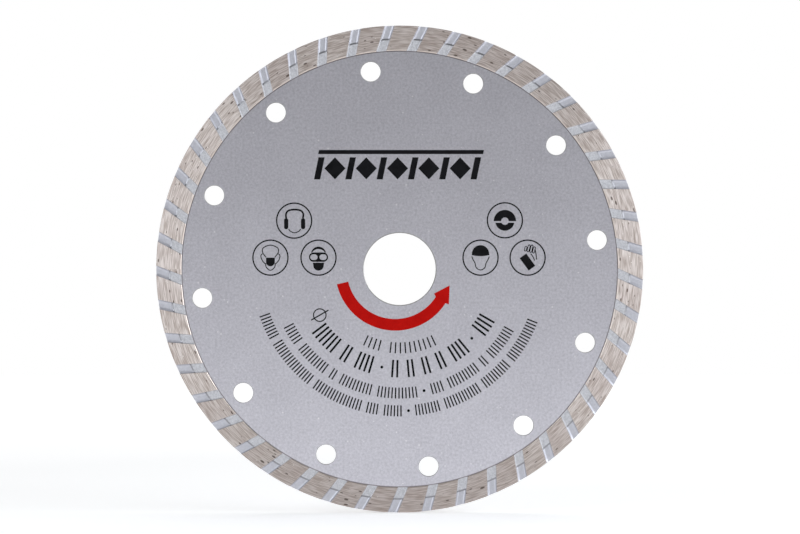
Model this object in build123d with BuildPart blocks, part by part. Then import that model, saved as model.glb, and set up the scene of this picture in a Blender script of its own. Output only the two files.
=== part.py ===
from build123d import *
import os
from itertools import product
from math import cos, radians, sin, sqrt, tan

# Continuous-rim turbo diamond blade for an angle grinder, 150 x 2.2 x 22.23 mm.
#
# The spin axis lies along Y and the origin is the centre of the bore, at mid-thickness.
# The face that carries the markings is the front and looks towards -Y; +Z is up.
# Faces are drawn on planes parallel to Plane.XZ, where x is the part's X and y is its Z,
# so angles run anticlockwise as the front face is looked at.

# ---- Driving dimensions, in millimetres and degrees ----
blade_diameter = 150.0        # over the diamond tips
rim_width = 2.2               # over the diamond tips of both faces
bore_diameter = 22.23
bore_chamfer = 0.15

core_thickness = 1.4
core_edge_radius = 70.75      # the bond is sintered round this edge

cooling_hole_count = 12
cooling_hole_diameter = 6.1
cooling_hole_circle = 122.9
cooling_hole_start = 8.35
cooling_hole_chamfer = 0.1

lacquer_thickness = 0.04
lacquer_bore_gap = 0.25       # the ring of bare steel that machining the bore leaves

grit_size = 0.44              # across a crystal's corners
grit_stand_proud = 0.05       # how far the tips stand out of the bond
rim_inner_radius = 67.2       # of the two cheeks that lap over the core
rim_inner_chamfer = 0.3
rim_outer_chamfer = 0.12

groove_count = 45
groove_width = 2.8            # square to the groove, at the land
groove_floor_height = 0.45    # of its outer part, from the blade's mid-plane
groove_draft = 32.0           # of its walls, from the spin axis
groove_slant = 22.0           # its outer end trails the rotation by this angle
groove_radius = 71.1          # where the two angles below are measured
groove_start = 85.52

grit_per_land = 2             # crystals that show in the face of a land
grit_per_edge = 1             # crystals that show in the rim's outer wall, per groove pitch
grit_radial_reach = 2.9       # how far their centres stray from groove_radius
grit_across_reach = 2.6       # and from a land's middle line
grit_edge_reach = 0.75        # and from the mid-plane, in the outer wall

# ---- Dimensions worked out from them ----
bore_radius = bore_diameter / 2
cooling_hole_radius = cooling_hole_diameter / 2
core_face_height = core_thickness / 2
land_height = rim_width / 2 - grit_stand_proud
rim_outer_radius = blade_diameter / 2 - grit_stand_proud
groove_pitch = 360 / groove_count
groove_depth = land_height - groove_floor_height
groove_length = 4 * (rim_outer_radius - rim_inner_radius)
crystal_radius = grit_size / 2
crystal_side = sqrt(2) * crystal_radius
# The grooves of the back lie midway between those of the front, so the rim is nowhere thin.
front_groove_start = groove_start
back_groove_start = groove_start + groove_pitch / 2

os.makedirs("parts", exist_ok=True)


def circles_of(builder, radius):
    """The circular edges of this radius on the part being built."""
    circles = builder.edges().filter_by(GeomType.CIRCLE)
    return circles.filter_by(lambda edge: abs(edge.radius - radius) < 0.01)


# ---- Steel core: a flat disc with a machined bore and a ring of cooling holes ----
with BuildPart() as steel_core:
    with BuildSketch(Plane.XZ):
        Circle(core_edge_radius)
        Circle(bore_radius, mode=Mode.SUBTRACT)
        with PolarLocations(cooling_hole_circle / 2, cooling_hole_count, cooling_hole_start):
            Circle(cooling_hole_radius, mode=Mode.SUBTRACT)
    extrude(amount=core_face_height, both=True)
    chamfer(circles_of(steel_core, bore_radius), bore_chamfer)
    chamfer(circles_of(steel_core, cooling_hole_radius), cooling_hole_chamfer)
steel_core.part.label = "steel_core"
export_step(steel_core.part, "parts/steel_core.step")


# ---- Diamond rim: one sintered ring that wraps the core's edge, grooved on both faces ----
with BuildPart() as diamond_rim:
    with BuildSketch(Plane.XZ):
        Circle(rim_outer_radius)
        Circle(rim_inner_radius, mode=Mode.SUBTRACT)
    extrude(amount=land_height, both=True)
    chamfer(circles_of(diamond_rim, rim_inner_radius), rim_inner_chamfer)
    chamfer(circles_of(diamond_rim, rim_outer_radius), rim_outer_chamfer)
    with BuildSketch(Plane.XZ):
        Circle(core_edge_radius)
    extrude(amount=core_face_height, both=True, mode=Mode.SUBTRACT)

    # Front grooves, cut from the land at -Y down to their floor; the core's own face is
    # the floor of each groove's inner part, because the cutter passes the cheek there.
    with BuildSketch(Plane.XZ.offset(land_height)):
        with PolarLocations(groove_radius, groove_count, front_groove_start):
            Rectangle(groove_length, groove_width, rotation=-groove_slant)
    extrude(amount=-groove_depth, taper=groove_draft, mode=Mode.SUBTRACT)

    with BuildSketch(Plane.XZ.offset(-land_height)):
        with PolarLocations(groove_radius, groove_count, back_groove_start):
            Rectangle(groove_length, groove_width, rotation=-groove_slant)
    extrude(amount=groove_depth, taper=groove_draft, mode=Mode.SUBTRACT)
diamond_rim.part.label = "diamond_rim"
export_step(diamond_rim.part, "parts/diamond_rim.step")


# ---- Lacquer: a thin coat on each face of the core, from the bore to the rim ----
with BuildSketch(Plane.XZ) as coat_outline:
    Circle(rim_inner_radius)
    Circle(bore_radius + lacquer_bore_gap, mode=Mode.SUBTRACT)
    with PolarLocations(cooling_hole_circle / 2, cooling_hole_count, cooling_hole_start):
        Circle(cooling_hole_radius + cooling_hole_chamfer, mode=Mode.SUBTRACT)

with BuildPart() as lacquer_front:
    with BuildSketch(Plane.XZ.offset(core_face_height)):
        add(coat_outline.sketch_local)
    extrude(amount=lacquer_thickness)
lacquer_front.part.label = "lacquer_front"
export_step(lacquer_front.part, "parts/lacquer_front.step")

with BuildPart() as lacquer_back:
    with BuildSketch(Plane.XZ.offset(-core_face_height)):
        add(coat_outline.sketch_local)
    extrude(amount=-lacquer_thickness)
lacquer_back.part.label = "lacquer_back"
export_step(lacquer_back.part, "parts/lacquer_back.step")


# ---- Diamond grit: the crystals that show in the bond, each one a cube cut to the middles
# of its edges. Each sits in the bond with its outermost corner at the blade's nominal size.
def spread(index, step):
    """A number from 0 to 1; with an irrational step, the numbers of a row never bunch up."""
    return (index * step) % 1.0


def crystal_place(index, radius, angle, height):
    """Where a crystal sits, and how it is turned: height is its distance in front of the mid-plane."""
    turns = [360 * spread(index, step) for step in (0.137, 0.331, 0.577)]
    return Location((radius * cos(angle), -height, radius * sin(angle)), turns)


def land_place(index, land_start, height):
    """A scattered spot on one of the lands; the first groove beside them is at land_start."""
    outwards = grit_radial_reach * (2 * spread(index, 0.7549) - 1)
    across = grit_across_reach * (2 * spread(index, 0.5698) - 1)
    radius = groove_radius + outwards
    middle = radians(land_start + groove_pitch * (index + 0.5))
    lean = -outwards * tan(radians(groove_slant))
    return crystal_place(index, radius, middle + (across + lean) / radius, height)


def edge_place(index):
    """A scattered spot on the rim's outer wall."""
    angle = radians(groove_pitch / grit_per_edge * (index + 0.5 * spread(index, 0.7549)))
    height = grit_edge_reach * (2 * spread(index, 0.5698) - 1)
    return crystal_place(index, blade_diameter / 2 - crystal_radius, angle, height)


crystal_height = rim_width / 2 - crystal_radius
land_indices = range(groove_count * grit_per_land)
front_places = [land_place(i, front_groove_start, crystal_height) for i in land_indices]
back_places = [land_place(i, back_groove_start, -crystal_height) for i in land_indices]
edge_places = [edge_place(i) for i in range(groove_count * grit_per_edge)]

with BuildPart() as crystal:
    Box(crystal_side, crystal_side, crystal_side)
    for x, y, z in product((-1, 1), repeat=3):
        corner_cut = Plane(origin=Vector(x, y, z) * crystal_side / 3, z_dir=(x, y, z))
        split(bisect_by=corner_cut, keep=Keep.BOTTOM)

with BuildPart() as diamond_grit:
    with Locations(*front_places, *back_places, *edge_places):
        add(crystal.part)
diamond_grit.part.label = "diamond_grit"
export_step(diamond_grit.part, "parts/diamond_grit.step")
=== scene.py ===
import math

import bmesh
import bpy
import numpy as np
from mathutils import Matrix, Vector

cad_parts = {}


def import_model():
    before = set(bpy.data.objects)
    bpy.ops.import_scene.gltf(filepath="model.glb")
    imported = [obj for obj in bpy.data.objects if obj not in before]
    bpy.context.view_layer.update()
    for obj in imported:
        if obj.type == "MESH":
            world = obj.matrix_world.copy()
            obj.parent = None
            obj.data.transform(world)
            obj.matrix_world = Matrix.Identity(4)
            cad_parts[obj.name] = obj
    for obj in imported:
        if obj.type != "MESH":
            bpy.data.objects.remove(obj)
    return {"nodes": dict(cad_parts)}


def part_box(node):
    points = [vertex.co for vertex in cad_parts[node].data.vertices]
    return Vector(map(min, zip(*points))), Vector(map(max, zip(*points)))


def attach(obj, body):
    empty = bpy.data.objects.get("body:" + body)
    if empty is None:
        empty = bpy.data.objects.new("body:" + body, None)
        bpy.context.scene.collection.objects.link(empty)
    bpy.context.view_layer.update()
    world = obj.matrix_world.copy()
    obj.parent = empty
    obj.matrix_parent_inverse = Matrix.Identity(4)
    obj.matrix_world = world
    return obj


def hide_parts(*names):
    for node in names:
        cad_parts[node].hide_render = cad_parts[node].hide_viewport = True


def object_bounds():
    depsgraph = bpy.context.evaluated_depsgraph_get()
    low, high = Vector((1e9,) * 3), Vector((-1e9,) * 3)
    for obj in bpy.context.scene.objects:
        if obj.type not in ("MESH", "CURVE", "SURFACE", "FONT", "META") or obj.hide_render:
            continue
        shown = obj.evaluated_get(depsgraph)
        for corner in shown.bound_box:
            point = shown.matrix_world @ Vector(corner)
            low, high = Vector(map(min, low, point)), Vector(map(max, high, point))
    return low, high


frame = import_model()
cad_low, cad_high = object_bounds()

# A turbo diamond blade. Everything is in metres in the CAD's frame: the spin axis is Y, the
# printed front face looks towards -Y and +Z is up. Angles run anticlockwise from +X as the
# front face is looked at, and heights are distances from the mid-plane.

MM = 0.001
TINY = 1e-7                      # closer than this, two sizes are the same


def node_radius(node):
    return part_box(node)[1][0]


def node_height(node):
    return max(-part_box(node)[0][1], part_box(node)[1][1])


# ---- Sizes read from the frame ----
RIM_RADIUS = node_radius("diamond_rim")
LAND_HEIGHT = node_height("diamond_rim")
TIP_HEIGHT = node_height("diamond_grit")
TIP_RADIUS = node_radius("diamond_grit")
CORE_RADIUS = node_radius("steel_core")
CORE_HEIGHT = node_height("steel_core")
LACQUER_HEIGHT = node_height("lacquer_front")
CHEEK_RADIUS = node_radius("lacquer_front")      # the lacquer meets the rim's cheeks here

# ---- The rim's grooves, with the same driving sizes as in the CAD model ----
GROOVE_COUNT = 45
GROOVE_SLANT = math.radians(22.0)
GROOVE_START = math.radians(85.52)
GROOVE_RADIUS = 71.1 * MM                        # where the slant and the start are measured
GROOVE_HALF_WIDTH = 1.4 * MM
GROOVE_DRAFT = math.tan(math.radians(32.0))      # how far a wall leans for each unit of height
GROOVE_FLOOR = 0.45 * MM
GROOVE_PITCH = 2 * math.pi / GROOVE_COUNT
INNER_CHAMFER = 0.3 * MM
OUTER_CHAMFER = 0.12 * MM

# A groove's floor lies on the lacquered core, thins to a lip at its corner, and then drops.
INNER_FLOOR = LACQUER_HEIGHT + 0.01 * MM
STEP_LIP = CORE_HEIGHT + 0.006 * MM
STEP_RADII = [CORE_RADIUS - 0.25 * MM, CORE_RADIUS + 0.01 * MM, CORE_RADIUS + 0.28 * MM]
OVER_CORE = CORE_RADIUS + 0.02 * MM              # within this radius a groove lies over the steel,
OVER_CORE_HEIGHT = STEP_LIP - 0.002 * MM         # and its floor is nowhere lower than this

# ---- How rough the rim is ----
SAND_RELIEF = 0.010 * MM         # of the unground grooves
SCRATCH_RELIEF = 0.006 * MM      # of the grinding marks on the lands
EDGE_CHIPS = 0.030 * MM
MARKS_PER_GROOVE = 5             # rises and falls of a grinding mark, over one pitch
WALL_ROWS = 5                    # rows of the mesh in the outer wall

# ---- The prints ----
INK_THICKNESS = 0.02 * MM
INK_HEIGHT = LACQUER_HEIGHT + INK_THICKNESS
PRINT_RISE = 0.3 * MM            # the prints lie this far above their places about the bore


def add_piece(name, mesh, materials, replaces=()):
    """A finished mesh as a piece of the blade."""
    mesh.name = name
    piece = bpy.data.objects.new(name, mesh)
    bpy.context.scene.collection.objects.link(piece)
    for material in materials:
        mesh.materials.append(material)
    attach(piece, "root")
    if replaces:
        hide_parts(*replaces)
    return piece


# ---- Materials ----
WHITE = (1, 1, 1, 1)


class Nodes:
    """A material's node tree, with short calls for the nodes that the materials share."""

    def __init__(self, name):
        self.material = bpy.data.materials.new(name)
        self.material.use_nodes = True
        self.tree = self.material.node_tree
        self.shader = self.tree.nodes["Principled BSDF"]
        self.place = self.add("ShaderNodeTexCoord").outputs["Object"]

    def add(self, kind, **settings):
        node = self.tree.nodes.new(kind)
        for key, value in settings.items():
            setattr(node, key, value)
        return node

    def feed(self, socket, value):
        """Link the socket to another one, or give it a plain value."""
        if isinstance(value, bpy.types.NodeSocket):
            self.tree.links.new(value, socket)
        else:
            socket.default_value = value

    def set(self, **values):
        """Feed the shader's inputs, by their names with _ for a space."""
        for key, value in values.items():
            self.feed(self.shader.inputs[key.replace("_", " ")], value)

    def math(self, operation, *values):
        node = self.add("ShaderNodeMath", operation=operation)
        for socket, value in zip(node.inputs, values):
            self.feed(socket, value)
        return node.outputs["Value"]

    def vector(self, x, y, z):
        node = self.add("ShaderNodeCombineXYZ")
        for socket, value in zip(node.inputs, (x, y, z)):
            self.feed(socket, value)
        return node.outputs["Vector"]

    def noise(self, place, scale, detail=3.0, roughness=0.55):
        node = self.add("ShaderNodeTexNoise")
        self.feed(node.inputs["Vector"], place)
        node.inputs["Scale"].default_value = scale
        node.inputs["Detail"].default_value = detail
        node.inputs["Roughness"].default_value = roughness
        return node.outputs["Fac"]

    def cells(self, place, scale):
        """(distance to the cell's centre, a random number for the cell)"""
        node = self.add("ShaderNodeTexVoronoi")
        self.feed(node.inputs["Vector"], place)
        node.inputs["Scale"].default_value = scale
        split = self.add("ShaderNodeSeparateColor")
        self.feed(split.inputs[0], node.outputs["Color"])
        return node.outputs["Distance"], split.outputs[0]

    def spots(self, place, scale, rarity, smallest, largest, softness):
        """1 in round spots, one in each cell whose random number is above the rarity."""
        distance, chance = self.cells(place, scale)
        size = self.spread(chance, rarity, 1.0, smallest, largest)
        return self.spread(self.math("SUBTRACT", size, distance), 0.0, softness, 0.0, 1.0)

    def total(self, *parts):
        """The sum of each value times its share, from (value, share) pairs."""
        result = 0.0
        for value, share in parts:
            result = self.math("ADD", result, self.math("MULTIPLY", value, share))
        return result

    def spread(self, value, low, high, to_low, to_high):
        """The value, scaled and limited so that low becomes to_low and high becomes to_high."""
        node = self.add("ShaderNodeMapRange")
        for socket, number in zip(node.inputs, (value, low, high, to_low, to_high)):
            self.feed(socket, number)
        return node.outputs["Result"]

    def mix(self, factor, a, b, blend="MIX"):
        node = self.add("ShaderNodeMix", data_type="RGBA", blend_type=blend)
        self.feed(node.inputs["Factor"], factor)
        self.feed(node.inputs[6], a)
        self.feed(node.inputs[7], b)
        return node.outputs[2]

    def bump(self, height, distance, strength=1.0, under=None):
        node = self.add("ShaderNodeBump")
        node.inputs["Strength"].default_value = strength
        node.inputs["Distance"].default_value = distance
        self.feed(node.inputs["Height"], height)
        if under is not None:
            self.feed(node.inputs["Normal"], under)
        return node.outputs["Normal"]

    def round_place(self, flat=False):
        """(radius, angle, height) of the point on the blade, or on the floor if flat."""
        node = self.add("ShaderNodeSeparateXYZ")
        self.feed(node.inputs[0], self.place)
        x, y, z = node.outputs
        if flat:
            y, z = z, y
        square = self.math("ADD", self.math("MULTIPLY", x, x), self.math("MULTIPLY", z, z))
        return self.math("SQRT", square), self.math("ARCTAN2", z, x), y

    def ring_place(self, across, around):
        """Coordinates with one frequency across the rim and another round it, per metre."""
        radius, angle, height = self.round_place()
        along = self.math("MULTIPLY", angle, GROOVE_RADIUS)
        return self.vector(self.math("MULTIPLY", radius, across), self.math("MULTIPLY", along, around),
                           self.math("MULTIPLY", height, across))


def lacquer_material():
    """Silver metallic lacquer: fine flake grain, a faint mottle and a little orange peel."""
    nodes = Nodes("silver_lacquer")
    flake = nodes.noise(nodes.place, 3800.0, 2.0, 0.6)
    mottle = nodes.noise(nodes.place, 1300.0, 3.0)
    cloud = nodes.noise(nodes.place, 60.0, 2.0)
    tone = nodes.total((flake, 0.3), (mottle, 0.55), (cloud, 0.15))
    shade = nodes.spread(tone, 0.36, 0.64, 0.0, 1.0)
    silver = nodes.mix(shade, (0.56, 0.548, 0.60, 1), (0.76, 0.744, 0.807, 1))
    fleck = nodes.spots(nodes.place, 1000.0, 0.93, 0.0, 0.34, 0.08)
    flecked = nodes.mix(nodes.math("MULTIPLY", fleck, 0.7), silver, (0.93, 0.915, 0.95, 1))
    # painted shade: a dark line in the corner where the lacquer meets the rim, which the rim's step
    # shades
    radius = nodes.round_place()[0]
    corner_shade = nodes.spread(radius, CHEEK_RADIUS - 0.34 * MM, CHEEK_RADIUS - 0.20 * MM, 0.0, 0.8)
    nodes.set(Base_Color=nodes.mix(corner_shade, flecked, (0.20, 0.17, 0.18, 1)))
    nodes.set(Metallic=0.94, Roughness=nodes.spread(flake, 0.3, 0.7, 0.28, 0.34))
    peel = nodes.bump(nodes.noise(nodes.place, 1100.0, 2.0), 0.01 * MM, 0.30)
    nodes.set(Normal=nodes.bump(flake, 0.003 * MM, 0.5, peel))
    return nodes.material


def groove_material():
    """The same lacquer over rough, unground bond: sandy over the core and smoother beyond it."""
    nodes = Nodes("groove_lacquer")
    radius, _, height = nodes.round_place()
    outer = nodes.spread(radius, STEP_RADII[1], STEP_RADII[1] + 0.08 * MM, 0.0, 1.0)
    lip_begins = nodes.spread(radius, STEP_RADII[0], STEP_RADII[0] + 0.08 * MM, 0.0, 1.0)
    lip_ends = nodes.spread(radius, STEP_RADII[2], STEP_RADII[2] + 0.06 * MM, 1.0, 0.0)
    lip = nodes.math("MULTIPLY", lip_begins, lip_ends)
    grain = nodes.noise(nodes.place, 4200.0, 3.0, 0.6)
    patch = nodes.noise(nodes.place, 1500.0, 3.0)
    shade = nodes.spread(nodes.total((grain, 0.5), (patch, 0.5)), 0.35, 0.65, 0.0, 1.0)
    sandy = nodes.mix(shade, (0.39, 0.39, 0.42, 1), (0.66, 0.66, 0.69, 1))
    smooth_coat = nodes.mix(shade, (0.50, 0.50, 0.55, 1), (0.61, 0.61, 0.66, 1))
    # along the step the coat draws out smooth and shiny, and its dark colour is painted shade on the
    # step's slope
    coat = nodes.mix(lip, nodes.mix(outer, sandy, smooth_coat), (0.30, 0.30, 0.32, 1))
    # painted shade: the groove's walls darken towards their top, as dark lines along them
    low, high = LACQUER_HEIGHT + 0.06 * MM, LAND_HEIGHT - 0.12 * MM
    wall_shade = nodes.spread(nodes.math("ABSOLUTE", height), low, high, 0.0, 0.55)
    nodes.set(Base_Color=nodes.mix(wall_shade, coat, (0.22, 0.195, 0.19, 1)))
    shine = nodes.spread(outer, 0.0, 1.0, 0.35, 0.68)
    rough = nodes.spread(grain, 0.35, 0.65, 0.38, 0.52)
    nodes.set(Metallic=nodes.spread(lip, 0.0, 1.0, shine, 0.95))
    nodes.set(Roughness=nodes.spread(lip, 0.0, 1.0, rough, 0.38))
    nodes.set(Normal=nodes.bump(grain, 0.012 * MM, 0.6))
    return nodes.material


def land_shade(nodes, radius, angle):
    """A random number for each land, found by counting the grooves that the point has passed."""
    outwards = nodes.math("SUBTRACT", radius, GROOVE_RADIUS)
    lean = nodes.math("MULTIPLY", outwards, math.tan(GROOVE_SLANT) / GROOVE_RADIUS)
    turned = nodes.math("SUBTRACT", nodes.math("ADD", angle, lean), GROOVE_START)
    passed = nodes.math("DIVIDE", turned, GROOVE_PITCH)
    land = nodes.add("ShaderNodeTexWhiteNoise", noise_dimensions="1D")
    nodes.feed(land.inputs["W"], nodes.math("FLOOR", passed))
    return land.outputs["Value"]


def bond_material():
    """Ground sintered bond: scratches that run round the blade, dark pores and painted glints."""
    nodes = Nodes("sintered_bond")
    radius, angle, _ = nodes.round_place()
    scratch = nodes.noise(nodes.ring_place(4600.0, 250.0), 1.0, 1.0, 0.5)
    streak = nodes.noise(nodes.ring_place(1900.0, 60.0), 1.0, 1.0, 0.5)
    line = nodes.total((streak, 0.2), (scratch, 0.8))
    light = nodes.spread(line, 0.40, 0.60, 0.0, 1.0)
    scratched = nodes.mix(light, (0.60, 0.55, 0.52, 1), WHITE)
    shade = land_shade(nodes, radius, angle)
    land_tone = nodes.mix(shade, (0.72, 0.645, 0.615, 1), (0.77, 0.70, 0.665, 1))
    toned = nodes.mix(1.0, land_tone, scratched, "MULTIPLY")
    # dark pores, longer along the grinding marks, and bright spots that are painted glints off bare
    # crystals
    pore = nodes.spots(nodes.ring_place(1250.0, 480.0), 1.0, 0.70, 0.04, 0.40, 0.08)
    painted_glint = nodes.spots(nodes.ring_place(2200.0, 2200.0), 1.0, 0.965, 0.0, 0.34, 0.05)
    pored = nodes.mix(nodes.math("MULTIPLY", pore, 0.85), toned, (0.09, 0.065, 0.05, 1))
    with_painted_glints = nodes.mix(painted_glint, pored, (0.92, 0.90, 0.86, 1))
    # the inner edge isn't ground, and is smoother, and its lighter cream colour is a painted highlight;
    # the outer wall is darker, and dull as moulded
    edge = nodes.spread(radius, CHEEK_RADIUS + 0.22 * MM, CHEEK_RADIUS + 0.36 * MM, 1.0, 0.0)
    wall = nodes.spread(radius, RIM_RADIUS - 0.10 * MM, RIM_RADIUS - 0.04 * MM, 0.0, 1.0)
    face = nodes.mix(edge, with_painted_glints, (0.68, 0.60, 0.54, 1))
    nodes.set(Base_Color=nodes.mix(wall, face, (0.62, 0.60, 0.58, 1), "MULTIPLY"))
    shine = nodes.spread(edge, 0.0, 1.0, 0.8, 1.0)
    rough = nodes.spread(edge, 0.0, 1.0, nodes.spread(line, 0.38, 0.62, 0.34, 0.56), 0.32)
    nodes.set(Metallic=nodes.spread(wall, 0.0, 1.0, shine, 0.6))
    nodes.set(Roughness=nodes.spread(wall, 0.0, 1.0, rough, 0.74))
    # the grinding marks spread a reflection towards and away from the blade's centre
    unground = nodes.math("MAXIMUM", edge, wall)
    nodes.set(Anisotropic=nodes.spread(unground, 0.0, 1.0, 0.90, 0.0))
    tangent = nodes.add("ShaderNodeTangent", direction_type="RADIAL", axis="Y")
    nodes.set(Anisotropic_Rotation=0.25, Tangent=tangent.outputs["Tangent"])
    nodes.set(Normal=nodes.bump(pore, -0.05 * MM, 0.6, nodes.bump(scratch, 0.016 * MM, 0.5)))
    return nodes.material


def steel_material():
    """Bare steel of the core, with fine machined lines in the walls of its openings."""
    nodes = Nodes("core_steel")
    radius, angle, height = nodes.round_place()
    across, along = nodes.math("MULTIPLY", radius, 9000.0), nodes.math("MULTIPLY", height, 9000.0)
    lines = nodes.noise(nodes.vector(across, angle, along), 1.0, 2.0)
    cloud = nodes.noise(nodes.place, 260.0, 3.0)
    shade = nodes.spread(nodes.total((lines, 0.5), (cloud, 0.5)), 0.35, 0.65, 0.0, 1.0)
    nodes.set(Base_Color=nodes.mix(shade, (0.27, 0.265, 0.26, 1), (0.40, 0.395, 0.39, 1)))
    nodes.set(Metallic=0.9, Roughness=nodes.spread(lines, 0.3, 0.7, 0.40, 0.54))
    nodes.set(Normal=nodes.bump(lines, 0.01 * MM, 0.4))
    return nodes.material


def diamond_material():
    """Synthetic diamond grit: dark olive crystals with glassy facets."""
    nodes = Nodes("diamond_grit")
    cloud = nodes.noise(nodes.place, 2400.0, 2.0)
    shade = nodes.spread(cloud, 0.35, 0.65, 0.0, 1.0)
    nodes.set(Base_Color=nodes.mix(shade, (0.035, 0.03, 0.02, 1), (0.16, 0.14, 0.085, 1)))
    nodes.set(Roughness=nodes.spread(cloud, 0.3, 0.7, 0.10, 0.24), IOR=2.4)
    return nodes.material


def ink_material(name, dark, light, roughness):
    """Screen-printed ink, a little uneven where the mesh left its pattern."""
    nodes = Nodes(name)
    grain = nodes.noise(nodes.place, 3500.0, 3.0, 0.6)
    patch = nodes.noise(nodes.place, 420.0, 2.0)
    shade = nodes.spread(nodes.total((grain, 0.5), (patch, 0.5)), 0.35, 0.65, 0.0, 1.0)
    nodes.set(Base_Color=nodes.mix(shade, dark, light))
    nodes.set(Roughness=nodes.spread(grain, 0.3, 0.7, roughness - 0.06, roughness + 0.06))
    nodes.set(Normal=nodes.bump(grain, 0.004 * MM, 0.4), Specular_IOR_Level=0.06)
    return nodes.material


# ---- The rim ----
def line_angle(centre, offset, radius):
    """Angle at which a line parallel to a slanted groove crosses a radius; centre is the groove's."""
    side = GROOVE_RADIUS * math.sin(GROOVE_SLANT) + offset
    return centre - GROOVE_SLANT + np.arcsin(side / radius)


def groove_height(offset, radius, land):
    """Height of the surface in or beside a groove, at this distance from its centre line."""
    wall = land - np.maximum(GROOVE_HALF_WIDTH - np.abs(offset), 0) / GROOVE_DRAFT
    floor = np.interp(radius, STEP_RADII, [INNER_FLOOR, STEP_LIP, GROOVE_FLOOR])
    return np.minimum(land, np.maximum(wall, floor))


FLOOR_HALF_WIDTH = GROOVE_HALF_WIDTH - (LAND_HEIGHT - GROOVE_FLOOR) * GROOVE_DRAFT
INNER_HALF_WIDTH = GROOVE_HALF_WIDTH - (LAND_HEIGHT - LACQUER_HEIGHT) * GROOVE_DRAFT
GROOVE_LACQUER_WIDTH = GROOVE_HALF_WIDTH + 0.07 * MM     # the lacquer runs just over the land's edge
GROOVE_MARGIN = 1.62 * MM                                # the last column beside a groove
LAND_COLUMNS = 4
LOW_ROWS, HIGH_ROWS = 7, 8                               # inside and outside the step
FAR = 1.0                                                # an offset beyond every groove


def rim_columns():
    """The mesh's columns over one pitch: (kind, offset from its groove, or share of the land)."""
    half = [0.5 * FLOOR_HALF_WIDTH, FLOOR_HALF_WIDTH, INNER_HALF_WIDTH,
            GROOVE_HALF_WIDTH, GROOVE_LACQUER_WIDTH, GROOVE_MARGIN]
    offsets = [-w for w in reversed(half)] + [0.0] + half
    land = [(i + 1) / (LAND_COLUMNS + 1) for i in range(LAND_COLUMNS)]
    front = [("front", w) for w in offsets] + [("land_1", share) for share in land]
    return front + [("back", w) for w in offsets] + [("land_2", share) for share in land]


def column_angles(columns, radius):
    """The angle of each column of one pitch at a radius, the front groove's centre being 0."""
    back = GROOVE_PITCH / 2
    ends = {
        "land_1": (line_angle(0, GROOVE_MARGIN, radius), line_angle(back, -GROOVE_MARGIN, radius)),
        "land_2": (line_angle(back, GROOVE_MARGIN, radius),
                   line_angle(GROOVE_PITCH, -GROOVE_MARGIN, radius)),
    }
    angles = []
    for kind, value in columns:
        if kind in ends:
            low, high = ends[kind]
            angles.append(low + (high - low) * value)
        else:
            angles.append(line_angle(back if kind == "back" else 0, value, radius))
    return np.array(angles)


def face_rows():
    """Radii of the mesh's rows over a face of the rim, closest together at its edges and the step."""
    turns = (0, 25, 50, 72, 90)          # degrees round the inner edge
    inner = [CHEEK_RADIUS + INNER_CHAMFER * (1 - math.cos(math.radians(t))) for t in turns]
    step = STEP_RADII + [STEP_RADII[-1] + 0.06 * MM]
    outer = [RIM_RADIUS - OUTER_CHAMFER, RIM_RADIUS - 0.35 * OUTER_CHAMFER, RIM_RADIUS]
    low = np.linspace(inner[-1], step[0], LOW_ROWS + 2)[1:-1]
    high = np.linspace(step[-1], outer[0], HIGH_ROWS + 2)[1:-1]
    return np.array(inner + list(low) + step + list(high) + outer)


def land_profile(radius):
    """Height of a land, less at its rounded inner and outer edges."""
    inside = np.clip((CHEEK_RADIUS + INNER_CHAMFER - radius) / INNER_CHAMFER, 0, 1)
    outside = np.clip((radius - RIM_RADIUS + OUTER_CHAMFER) / OUTER_CHAMFER, 0, 1)
    inner_drop = INNER_CHAMFER * (1 - np.sqrt(1 - inside ** 2))
    return LAND_HEIGHT - inner_drop - OUTER_CHAMFER * (1 - np.sqrt(1 - outside ** 2))


def scratches(rows, columns, rng):
    """Grinding marks: each row has its own slow rise and fall along the rim."""
    knots = rng.normal(0.0, 1.0, (rows, GROOVE_COUNT * MARKS_PER_GROOVE))
    at = np.linspace(0, knots.shape[1], columns, endpoint=False)
    low = np.floor(at).astype(int)
    share = at - low
    high = (low + 1) % knots.shape[1]
    return knots[:, low] * (1 - share) + knots[:, high] * share


def rim_face(rng, columns, radii, side):
    """(angles, heights) of the rim's grooved front or back, one row for each radius."""
    count = len(columns) * GROOVE_COUNT
    pitches = np.repeat(np.arange(GROOVE_COUNT) * GROOVE_PITCH, len(columns))
    offsets = np.array([value if kind == side else FAR for kind, value in columns])
    offsets = np.tile(offsets, GROOVE_COUNT)
    in_groove = np.abs(offsets) < GROOVE_HALF_WIDTH - TINY
    at_edge = np.isclose(np.abs(offsets), GROOVE_HALF_WIDTH)
    angles = np.stack([np.tile(column_angles(columns, r), GROOVE_COUNT) + pitches for r in radii])
    land = land_profile(radii)[:, None] * np.ones(count)
    heights = groove_height(offsets[None, :], radii[:, None], land)
    marks = scratches(len(radii), count, rng)
    sand = rng.normal(0.0, 1.0, heights.shape)
    heights += np.where(in_groove, SAND_RELIEF * sand, SCRATCH_RELIEF * marks)
    heights -= np.where(at_edge, EDGE_CHIPS * np.abs(sand), 0.0)
    over_core = (radii < OVER_CORE)[:, None]
    heights = np.where(over_core, np.maximum(heights, OVER_CORE_HEIGHT), heights)
    return angles + GROOVE_START, np.minimum(heights, LAND_HEIGHT)


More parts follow.
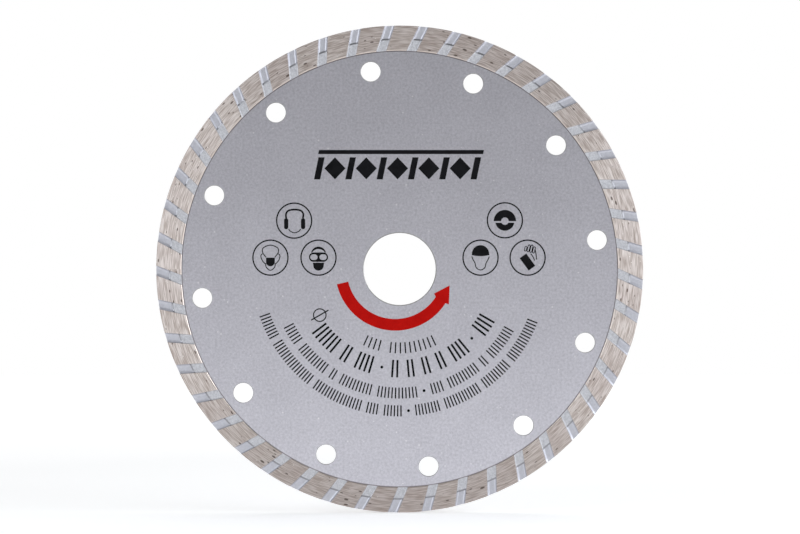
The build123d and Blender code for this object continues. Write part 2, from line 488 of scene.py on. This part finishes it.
def rim_mesh(rng):
    """The sintered bond as one closed skin: front face, outer wall, back face and core slot."""
    columns, radii = rim_columns(), face_rows()
    front_angles, front = rim_face(rng, columns, radii, "front")
    back_angles, back = rim_face(rng, columns, radii, "back")
    ones = np.ones(front.shape[1])
    rows = [(radii[i] * ones, front_angles[i], -front[i]) for i in range(len(radii))]
    wear = rng.normal(0.0, 1.0, (WALL_ROWS, front.shape[1]))
    for i in range(WALL_ROWS):
        share = (i + 1) / (WALL_ROWS + 1)
        wall = RIM_RADIUS - SCRATCH_RELIEF * np.abs(wear[i])
        rows.append((wall, front_angles[-1], -front[-1] * (1 - share) + back[-1] * share))
    for i in reversed(range(len(radii))):
        rows.append((radii[i] * ones, back_angles[i], back[i]))
    for radius, height in ((CHEEK_RADIUS, CORE_HEIGHT), (CORE_RADIUS, CORE_HEIGHT),
                           (CORE_RADIUS, -CORE_HEIGHT), (CHEEK_RADIUS, -CORE_HEIGHT)):
        angles = front_angles[0] if radius == CHEEK_RADIUS else front_angles[len(radii) // 2]
        rows.append((radius * ones, angles, height * ones))
    points = np.stack([np.stack([r * np.cos(a), y, r * np.sin(a)], axis=1) for r, a, y in rows])
    n_rows, n_columns = points.shape[:2]
    index = np.arange(n_rows * n_columns).reshape(n_rows, n_columns)
    below, right = np.roll(index, -1, axis=0), np.roll(index, -1, axis=1)
    faces = np.stack([index, below, np.roll(below, -1, axis=1), right], axis=2).reshape(-1, 4)
    mesh = bpy.data.meshes.new("sintered_rim")
    mesh.from_pydata(points.reshape(-1, 3).tolist(), [], faces.tolist())
    lacquered = groove_faces(columns, radii, n_rows, n_columns)
    mesh.polygons.foreach_set("material_index", lacquered.reshape(-1).astype(np.int32))
    mesh.polygons.foreach_set("use_smooth", np.ones(len(mesh.polygons), bool))
    mesh.validate()
    return mesh


def groove_faces(columns, radii, n_rows, n_columns):
    """1 for each quad that lies in a groove of the front or the back, and so is lacquered."""
    lacquered = np.zeros((n_rows, n_columns), int)
    back_row = len(radii) + WALL_ROWS
    for i, (kind, value) in enumerate(columns):
        # a quad belongs to the column at its low side
        inside = -GROOVE_LACQUER_WIDTH - TINY < value < GROOVE_LACQUER_WIDTH - TINY
        if kind == "front" and inside:
            lacquered[: len(radii) - 1, i :: len(columns)] = 1
        if kind == "back" and inside:
            lacquered[back_row : back_row + len(radii) - 1, i :: len(columns)] = 1
    return lacquered


# ---- Diamond grit ----
LAND_CRYSTALS = (5, 10)              # on each land: the fewest, and one more than the most
LAND_CRYSTAL_SIZES = (0.28, 0.50)    # in millimetres, as all the sizes of crystals are
WALL_CRYSTALS = 3 * GROOVE_COUNT
WALL_CRYSTAL_SIZES = (0.20, 0.40)
WALL_SPREAD = 0.4                    # the most that one in the outer wall is off the mid-plane
SINK = 0.02                          # the most that a tip is below the tallest crystal's
STRETCH = (0.85, 1.15)
INNER_ROOM, OUTER_ROOM, SIDE_ROOM = 0.7 * MM, 0.5 * MM, 0.4 * MM     # kept from a land's edges


def crystal_points(rng, size):
    """Corners of a cubo-octahedron, a little uneven, of this size across its corners."""
    corners = [v for v in np.ndindex(3, 3, 3) if sorted(abs(c - 1) for c in v) == [0, 1, 1]]
    points = (np.array(corners) - 1.0) * rng.uniform(*STRETCH, 3)
    points /= np.linalg.norm(points, axis=1).max()
    angle = rng.uniform(0, math.pi)
    axis = Vector(rng.normal(0, 1, 3)).normalized()
    turn = np.array(Matrix.Rotation(angle, 3, axis))
    return points @ turn.T * size / 2


def land_spot(rng, land, side):
    """(radius, angle) of a scattered spot on a land of the front (0) or the back (1)."""
    radius = rng.uniform(CHEEK_RADIUS + INNER_ROOM, RIM_RADIUS - OUTER_ROOM)
    centre = GROOVE_START + (land + 0.5 * side) * GROOVE_PITCH
    low = line_angle(centre, GROOVE_HALF_WIDTH + SIDE_ROOM, radius)
    high = line_angle(centre + GROOVE_PITCH, -GROOVE_HALF_WIDTH - SIDE_ROOM, radius)
    return radius, rng.uniform(low, high)


def grit_mesh(rng):
    """Every crystal that shows: on the lands of both faces and in the outer wall."""
    builder = bmesh.new()
    for side in (0, 1):
        for land in range(GROOVE_COUNT):
            for _ in range(rng.integers(*LAND_CRYSTALS)):
                radius, angle = land_spot(rng, land, side)
                size = rng.uniform(*LAND_CRYSTAL_SIZES) * MM
                height = TIP_HEIGHT - rng.uniform(0.0, SINK) * MM - size / 2
                centre = (radius * math.cos(angle), height * (2 * side - 1), radius * math.sin(angle))
                add_crystal(builder, rng, centre, size)
    for _ in range(WALL_CRYSTALS):
        angle = rng.uniform(0, 2 * math.pi)
        size = rng.uniform(*WALL_CRYSTAL_SIZES) * MM
        radius = TIP_RADIUS - rng.uniform(0.0, SINK) * MM - size / 2
        height = rng.uniform(-WALL_SPREAD, WALL_SPREAD) * MM
        add_crystal(builder, rng, (radius * math.cos(angle), height, radius * math.sin(angle)), size)
    mesh = bpy.data.meshes.new("grit")
    builder.to_mesh(mesh)
    builder.free()
    return mesh


def add_crystal(builder, rng, centre, size):
    """Add one crystal to the mesh that is being built."""
    points = crystal_points(rng, size) + np.array(centre)
    corners = [builder.verts.new(p) for p in points]
    bmesh.ops.convex_hull(builder, input=corners)


# ---- Prints: their shapes are drawn in millimetres, as (right, up) from a point ----
def arc(centre, radius, start, end, steps=24):
    """Points along an arc, angles in degrees, centre and radius in millimetres."""
    angles = [math.radians(start + (end - start) * i / steps) for i in range(steps + 1)]
    return [(centre[0] + radius * math.cos(a), centre[1] + radius * math.sin(a)) for a in angles]


def circle(centre, radius, steps=96):
    return arc(centre, radius, 0, 360, steps)[:-1]


def moved(outline, place, turn=0.0):
    """The outline turned by an angle in degrees about (0, 0), then moved."""
    cosine, sine = math.cos(math.radians(turn)), math.sin(math.radians(turn))
    return [(place[0] + cosine * x - sine * y, place[1] + sine * x + cosine * y) for x, y in outline]


def rectangle(width, height, centre=(0.0, 0.0)):
    left, right = centre[0] - width / 2, centre[0] + width / 2
    bottom, top = centre[1] - height / 2, centre[1] + height / 2
    return [(left, bottom), (right, bottom), (right, top), (left, top)]


def capsule(width, height, centre=(0.0, 0.0)):
    """An upright bar with round ends."""
    radius, rise = width / 2, (height - width) / 2
    top = arc((centre[0], centre[1] + rise), radius, 0, 180, 12)
    return top + arc((centre[0], centre[1] - rise), radius, 180, 360, 12)


def lozenge(width, height, centre=(0.0, 0.0)):
    x, y = centre
    return [(x - width / 2, y), (x, y - height / 2), (x + width / 2, y), (x, y + height / 2)]


def stroke(points, width):
    """A line of this width along the points."""
    left, right = [], []
    for i, (x, y) in enumerate(points):
        x0, y0 = points[max(i - 1, 0)]
        x1, y1 = points[min(i + 1, len(points) - 1)]
        length = math.hypot(x1 - x0, y1 - y0)
        dx, dy = (y0 - y1) / length * width / 2, (x1 - x0) / length * width / 2
        left.append((x + dx, y + dy))
        right.append((x - dx, y - dy))
    return left + right[::-1]


def smooth(points, steps=6):
    """A smooth path through the points: a Catmull-Rom curve."""
    ends = [points[0]] + list(points) + [points[-1]]
    path = []
    for a, b, c, d in zip(ends, ends[1:], ends[2:], ends[3:]):
        for i in range(steps):
            t = i / steps
            path.append(tuple(0.5 * (2 * q + (r - p) * t + (2 * p - 5 * q + 4 * r - s) * t * t
                                     + (3 * q - p - 3 * r + s) * t ** 3)
                              for p, q, r, s in zip(a, b, c, d)))
    return path + [points[-1]]


def filled_shape(name, outlines):
    """A flat printed shape as a mesh in the plane of the sheet; an outline inside another is a hole."""
    curve = bpy.data.curves.new(name, "CURVE")
    curve.dimensions = "2D"
    curve.fill_mode = "BOTH"
    curve.extrude = INK_THICKNESS / 2
    for outline in outlines:
        spline = curve.splines.new("POLY")
        spline.points.add(len(outline) - 1)
        for point, (x, z) in zip(spline.points, outline):
            point.co = (x * MM, z * MM, 0.0, 1.0)
        spline.use_cyclic_u = True
    holder = bpy.data.objects.new(name, curve)
    mesh = bpy.data.meshes.new_from_object(holder)
    bpy.data.objects.remove(holder)
    bpy.data.curves.remove(curve)
    return mesh


def print_mesh(name, shapes):
    """Printed shapes on the front lacquer as one mesh."""
    builder = bmesh.new()
    for outlines in shapes:
        mesh = filled_shape(name, outlines)
        builder.from_mesh(mesh)
        bpy.data.meshes.remove(mesh)
    bmesh.ops.remove_doubles(builder, verts=builder.verts, dist=TINY)
    bmesh.ops.recalc_face_normals(builder, faces=builder.faces)
    printed = bpy.data.meshes.new(name)
    builder.to_mesh(printed)
    builder.free()
    upright = Matrix.Rotation(math.pi / 2, 4, "X")
    printed.transform(Matrix.Translation((0, INK_THICKNESS / 2 - INK_HEIGHT, PRINT_RISE)) @ upright)
    return printed


def arrow_shapes():
    """The rotation arrow: a band under the bore that ends in a barbed head."""
    centre, inner, outer = (-1.38, -0.86), 14.83, 18.42
    start, end, steps = 193, 327.3, 72
    head = [(15.15, -11.25), (15.4, -5.35), (10.6, -7.85)]
    return [[arc(centre, outer, start, end, steps) + head + arc(centre, inner, end, start, steps)]]


RING_RADIUS, RING_LINE, THIN_LINE = 5.6, 0.42, 0.30


def ear_defenders():
    band = smooth([(-2.45, 0.75), (-2.5, 2.1), (-1.7, 3.1), (0.2, 3.4), (2.0, 3.1), (2.8, 2.1),
                   (2.7, 0.75)])
    neck = smooth([(-1.7, -2.6), (-1.1, -3.3), (0.1, -3.75), (1.4, -3.3), (2.0, -2.6)])
    cups = [capsule(1.3, 3.4, (-2.45, -0.95)), capsule(1.3, 3.4, (2.75, -0.95))]
    return [[stroke(band, 0.55)], [stroke(neck, THIN_LINE)], [cups[0]], [cups[1]]]


def dust_mask():
    cup = [(-1.35, 0.0), (1.35, 0.0), (1.35, -1.3)] + arc((0, -1.3), 1.35, 0, -180, 18)[1:]
    upper = smooth([(-1.35, 0.1), (-2.4, 1.6), (-2.2, 3.0), (0, 3.85), (2.2, 3.0), (2.4, 1.6),
                    (1.35, 0.1)])
    lower = smooth([(-1.45, -1.7), (-1.3, -2.9), (0, -3.9), (1.3, -2.9), (1.45, -1.7)])
    loops = [smooth([(side * 2.45, 1.2), (side * 2.95, 0.5), (side * 2.5, -0.9), (side * 1.6, -1.9)])
             for side in (-1, 1)]
    lines = [[stroke(path, THIN_LINE)] for path in [upper, lower] + loops]
    return [[cup]] + lines


def goggles():
    edge = moved(capsule(2.9, 5.9), (0, 0.15), 90)
    lenses = [moved(capsule(1.75, 2.25), (side * 1.42, 0.15), 90) for side in (-1, 1)]
    strap = arc((0, 1.1), 2.3, 12, 168, 24) + arc((0, 0.3), 2.35, 150, 30, 18)
    respirator = [(-1.75, -1.55), (1.75, -1.55), (1.6, -2.4)] + arc((0, -2.4), 1.6, 0, -180, 18)[1:]
    return [[edge] + lenses, [strap], [respirator]]


def split_disc():
    centre = (0, -0.25)
    upper = arc(centre, 3.45, 0, 180, 30) + arc(centre, 1.15, 180, 0, 14)
    lower = arc(centre, 2.95, 190, 350, 30) + arc(centre, 1.15, 334, 206, 14)
    return [[upper], [lower]]


def helmet():
    dome = arc((0, 1.2), 2.65, 0, 180, 30) + smooth([(-2.75, 0.75), (0, 0.45), (2.75, 0.75)])
    strap = smooth([(-2.7, 0.35), (-2.3, -0.6), (-1.7, -1.7), (-1.3, -3.1), (0, -3.8), (1.3, -3.1),
                    (1.7, -1.7), (2.3, -0.6), (2.7, 0.35)])
    return [[dome], [stroke(strap, THIN_LINE)]]


def glove():
    """A work glove: a solid gauntlet, with the fingers and the thumb drawn in line."""
    gauntlet = moved(rectangle(2.5, 4.7), (-0.05, -1.35), 36)
    fingers, width, lean = [], 0.85, -14
    for i, reach in enumerate((1.7, 2.4, 2.6, 2.2)):
        finger = moved(capsule(width, reach, (-1.2 + width * i, 2.3 + reach / 2)), (-0.2, -0.6), lean)
        hollow = [(0.72 * x, 0.88 * y) for x, y in capsule(0.5, reach - 0.3)]
        fingers.append([finger, moved(hollow, middle(finger), lean)])
    thumb = smooth([(0.95, 1.25), (1.7, 0.2), (2.15, -0.9)])
    palm = smooth([(2.3, 2.6), (2.6, 1.0), (2.75, -0.6)])
    return [[gauntlet], [stroke(thumb, THIN_LINE)], [stroke(palm, THIN_LINE)]] + fingers


def middle(outline):
    return (sum(x for x, _ in outline) / len(outline), sum(y for _, y in outline) / len(outline))


SYMBOLS = (
    (ear_defenders, (-32.5, 14.6)),
    (dust_mask, (-39.8, 3.2)),
    (goggles, (-25.0, 3.2)),
    (split_disc, (32.4, 14.7)),
    (helmet, (24.9, 3.2)),
    (glove, (39.4, 3.2)),
)


def symbol_shapes():
    """Six rings with simple pictures in them: protective equipment, and a broken disc."""
    shapes = []
    for picture, place in SYMBOLS:
        shapes.append([circle(place, RING_RADIUS), circle(place, RING_RADIUS - RING_LINE)])
        shapes += [[moved(outline, place) for outline in shape] for shape in picture()]
    return shapes


def slanted_bar(left, right, bottom, top, lean):
    return [(left, bottom), (right, bottom), (right + lean, top), (left + lean, top)]


def emblem_shapes():
    """A plain row of lozenges parted by slanted bars, under one long bar."""
    lean, bottom, height = 1.4, 27.3, 6.8
    left, bar, stone, gap, stones = -26.4, 1.9, 6.5, 0.62, 5
    shapes = [[slanted_bar(-25.1, 25.7, 35.1, 36.35, 0.25)]]
    for i in range(stones + 1):
        shapes.append([slanted_bar(left, left + bar, bottom, bottom + height, lean)])
        left += bar + gap
        if i < stones:
            centre = (left + stone / 2 + lean / 2, bottom + height / 2)
            shapes.append([lozenge(stone, height, centre)])
            left += stone + gap
    return shapes


# Each line of marks: the radius of its middle, the marks' height and width, its start and end
# angle in degrees, and the number of marks in its groups. A group of one is a round dot.
MARK_LINES = (
    (24.6, 3.4, 0.42, 245.0, 295.0, (4, 10)),
    (31.0, 5.4, 0.62, 217.0, 330.0, (6, 2, 4, 1, 2, 2, 2, 2, 4, 1, 4)),
    (38.5, 3.4, 0.42, 207.6, 330.7, (6, 10, 2, 10, 12, 1, 4, 10, 2, 10)),
    (44.0, 3.4, 0.42, 199.3, 338.2, (8, 16, 16, 4, 6, 1, 8, 12, 10, 14)),
)
GROUP_GAP = 1.3          # the extra space between groups, as a share of a step between marks
DOT_RADIUS = 0.45


def crossed_ring(place):
    """A ring with a slanted line across it."""
    return [[circle(place, 2.1), circle(place, 1.75)], [moved(rectangle(0.4, 6.2), place, -60)]]


def mark_shapes():
    """Plain graduation marks in groups on four arcs below the bore, and a crossed ring."""
    shapes = crossed_ring((-24.6, -14.5))
    for radius, height, width, start, end, groups in MARK_LINES:
        step = (end - start) / (sum(groups) - 1 + GROUP_GAP * (len(groups) - 1))
        angle = start
        for count in groups:
            for _ in range(count):
                mark = rectangle(width, height) if count > 1 else circle((0, 0), DOT_RADIUS, 16)
                shapes.append([moved([(x, y - radius) for x, y in mark], (0, 0), angle - 270)])
                angle += step
            angle += GROUP_GAP * step
    return shapes


# ---- The blade ----
steel = steel_material()
lacquer = lacquer_material()
bond = bond_material()
groove_lacquer = groove_material()
black_ink = ink_material("black_ink", (0.003, 0.003, 0.0035, 1), (0.009, 0.009, 0.0105, 1), 0.45)
red_ink = ink_material("red_ink", (0.36, 0.002, 0.001, 1), (0.44, 0.004, 0.002, 1), 0.45)

for node, material in (("steel_core", steel), ("lacquer_front", lacquer), ("lacquer_back", lacquer)):
    for material_slot in frame["nodes"][node].material_slots:
        material_slot.material = material

rng = np.random.default_rng(7)
add_piece("sintered_rim", rim_mesh(rng), [bond, groove_lacquer], ["diamond_rim"])
add_piece("grit_crystals", grit_mesh(rng), [diamond_material()], ["diamond_grit"])
add_piece("arrow_print", print_mesh("arrow_print", arrow_shapes()), [red_ink])
add_piece("symbol_print", print_mesh("symbol_print", symbol_shapes()), [black_ink])
add_piece("emblem_print", print_mesh("emblem_print", emblem_shapes()), [black_ink])
add_piece("mark_print", print_mesh("mark_print", mark_shapes()), [black_ink])


# ---- The studio ----
def stage_material():
    """Pale paper that glows a little, so that it meets the white background without an edge."""
    nodes = Nodes("studio_paper")
    tone = nodes.spread(nodes.noise(nodes.place, 4.0, 2.0), 0.3, 0.7, 0.0, 1.0)
    nodes.set(Base_Color=nodes.mix(tone, (0.84, 0.84, 0.84, 1), (0.88, 0.88, 0.88, 1)), Roughness=0.9)
    nodes.set(Emission_Color=WHITE)
    away = nodes.round_place(flat=True)[0]
    # painted light: the paper's glow also lights the blade from below, and rises away from the blade,
    # where the lamps light the paper less
    nodes.set(Emission_Strength=nodes.spread(away, 0.25, 0.75, 0.30, 0.55))
    return nodes.material


def floor_sheet(left, front, right, back, level):
    """A plain pale floor."""
    mesh = bpy.data.meshes.new("paper_floor")
    points = [(left, front, level), (right, front, level), (right, back, level), (left, back, level)]
    mesh.from_pydata(points, [], [(0, 1, 2, 3)])
    mesh.materials.append(stage_material())
    paper = bpy.data.objects.new("paper_floor", mesh)
    bpy.context.scene.collection.objects.link(paper)


def softbox(name, place, aim, width, height, power, colour):
    """A rectangular light that faces its aim."""
    light = bpy.data.lights.new(name, "AREA")
    light.shape = "RECTANGLE"
    light.size, light.size_y = width, height
    light.color = colour
    light.energy = power
    lamp = bpy.data.objects.new(name, light)
    lamp.location = place
    lamp.rotation_euler = (Vector(aim) - Vector(place)).to_track_quat("-Z", "Y").to_euler()
    bpy.context.scene.collection.objects.link(lamp)


def world(lighting, backdrop):
    """Even light from all round, and white where the camera looks past the paper."""
    surround = bpy.data.worlds.new("studio")
    surround.use_nodes = True
    tree = surround.node_tree
    light = tree.nodes["Background"]
    light.inputs["Color"].default_value = WHITE
    light.inputs["Strength"].default_value = lighting
    seen = tree.nodes.new("ShaderNodeBackground")
    seen.inputs["Color"].default_value = WHITE
    seen.inputs["Strength"].default_value = backdrop
    ray = tree.nodes.new("ShaderNodeLightPath")
    choose = tree.nodes.new("ShaderNodeMixShader")
    tree.links.new(ray.outputs["Is Camera Ray"], choose.inputs["Fac"])
    tree.links.new(light.outputs[0], choose.inputs[1])
    tree.links.new(seen.outputs[0], choose.inputs[2])
    tree.links.new(choose.outputs[0], tree.nodes["World Output"].inputs["Surface"])
    bpy.context.scene.world = surround


CAMERA_DISTANCE = 0.95
FRAME_WIDTH = 246.55 * MM         # what the picture's width shows at the blade
AIM = (0.10 * MM, 0.62 * MM)      # the picture's middle is a little right of and above the bore's
SENSOR_WIDTH = 36.0

lens = bpy.data.cameras.new("camera")
lens.sensor_width = SENSOR_WIDTH
lens.lens = SENSOR_WIDTH * CAMERA_DISTANCE / FRAME_WIDTH
lens.clip_start, lens.clip_end = 0.01, 20.0
camera = bpy.data.objects.new("camera", lens)
camera.location = (AIM[0], -CAMERA_DISTANCE, AIM[1])
camera.rotation_euler = (math.radians(90), 0, 0)
bpy.context.scene.collection.objects.link(camera)
bpy.context.scene.camera = camera

FLOOR_EDGES = (-0.84, -0.8, 0.84, 1.2)      # left, front, right and back
floor_sheet(*FLOOR_EDGES, cad_low[2])

LIGHTING, BACKDROP = 0.29, 1.0
world(LIGHTING, BACKDROP)

# The side lights face each other across the blade: name, side (-1 is the left), how far back
# the middle is, its height, the light's width and height, and its power.
SIDE_DISTANCE = 0.86
SIDE_COLOUR = (0.90, 0.952, 1.0)
SIDE_LIGHTS = (
    ("left_box", -1, -0.905, 0.42, 0.61, 0.96, 9.0),
    ("right_front_box", 1, -0.905, 0.30, 0.61, 0.72, 3.9),
    ("right_box", 1, -0.415, 0.30, 0.37, 0.72, 2.4),
    ("right_back_box", 1, -0.04, 0.30, 0.38, 0.72, 4.9),
)
for name, side, y, z, width, height, power in SIDE_LIGHTS:
    softbox(name, (side * SIDE_DISTANCE, y, z), (0, y, z), width, height, power, SIDE_COLOUR)

# The overhead lights face straight down: name, how far back, width, depth and power.
OVERHEAD_HEIGHT = 1.1
OVERHEAD_COLOUR = (1.0, 1.0, 1.0)
OVERHEAD_LIGHTS = (
    ("overhead_back", 0.62, 2.0, 1.1, 6.5),
    ("overhead_front", -0.35, 1.6, 0.7, 0.5),
)
for name, y, width, depth, power in OVERHEAD_LIGHTS:
    softbox(name, (0.0, y, OVERHEAD_HEIGHT), (0, y, 0), width, depth, power, OVERHEAD_COLOUR)

bpy.context.scene.view_settings.view_transform = "Standard"
